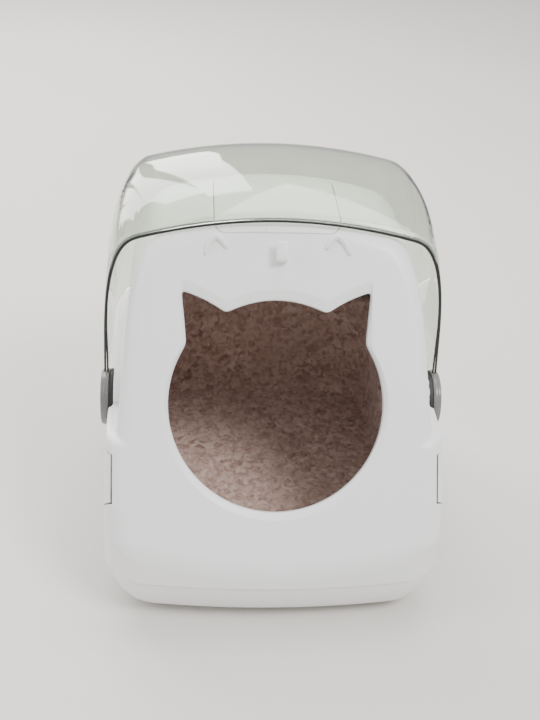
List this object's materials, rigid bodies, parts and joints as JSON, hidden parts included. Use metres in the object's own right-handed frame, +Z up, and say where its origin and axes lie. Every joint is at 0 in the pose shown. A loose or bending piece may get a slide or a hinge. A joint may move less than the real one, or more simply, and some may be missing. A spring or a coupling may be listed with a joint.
{
  "type": "cat litter box with hood",
  "caption": "Hooded cat litter box: deep tray, sloping front with a cat-head entrance, smoky clear hood that swings on side pivots, side latches and a fleece mat.",
  "frame": {"origin": "middle of the footprint, on the floor under the feet", "axes": "+Z up, the entrance faces -Y, +X to the right seen from behind the entrance looking at +Y"},
  "size_m": [0.407, 0.4918, 0.456],
  "materials": {
    "shell_white": "satin moulded, soft sheen",
    "tray_white": "satin moulded",
    "hood_smoke": "polished, smoky and see-through",
    "cap_grey": "satin grey",
    "washer_black": "matt black",
    "foot_rubber": "matt black",
    "screw_steel": "turned",
    "fleece": "deep curly pile"
  },
  "bodies": {
    "tray": {"base_tray": "tray_white", "tray_foot_1": "foot_rubber", "tray_foot_2": "foot_rubber", "tray_foot_3": "foot_rubber", "tray_foot_4": "foot_rubber", "fleece_mat": "fleece"},
    "housing": {"front_shell": "shell_white", "rear_cover": "shell_white", "scoop_hook": "shell_white", "top_hatch": "shell_white", "pivot_washer_right": "washer_black", "pivot_washer_left": "washer_black", "pivot_screw_right": "screw_steel", "pivot_screw_left": "screw_steel", "latch_pin_right": "screw_steel", "latch_pin_left": "screw_steel"},
    "hood": {"hood_shell": "hood_smoke", "pivot_cap_right": "cap_grey", "pivot_cap_left": "cap_grey"},
    "latch_right": {"side_latch_right": "shell_white"},
    "latch_left": {"side_latch_left": "shell_white"}
  },
  "joints": [
    {"name": "lift_off", "type": "slide", "parent": "tray", "child": "housing", "axis": [0, 0, 1], "range_m": [0, 0.15]},
    {"name": "hood_pivot", "type": "hinge", "parent": "housing", "child": "hood", "pos_m": [0, -0.05713, 0.2], "axis": [1, 0, 0], "range_deg": [0, 90]},
    {"name": "latch_hinge_right", "type": "hinge", "parent": "housing", "child": "latch_right", "pos_m": [0.1895, -0.13513, 0.192], "axis": [0, -1, 0], "range_deg": [0, 30]},
    {"name": "latch_hinge_left", "type": "hinge", "parent": "housing", "child": "latch_left", "pos_m": [-0.1895, -0.13513, 0.192], "axis": [0, 1, 0], "range_deg": [0, 30]}
  ]
}
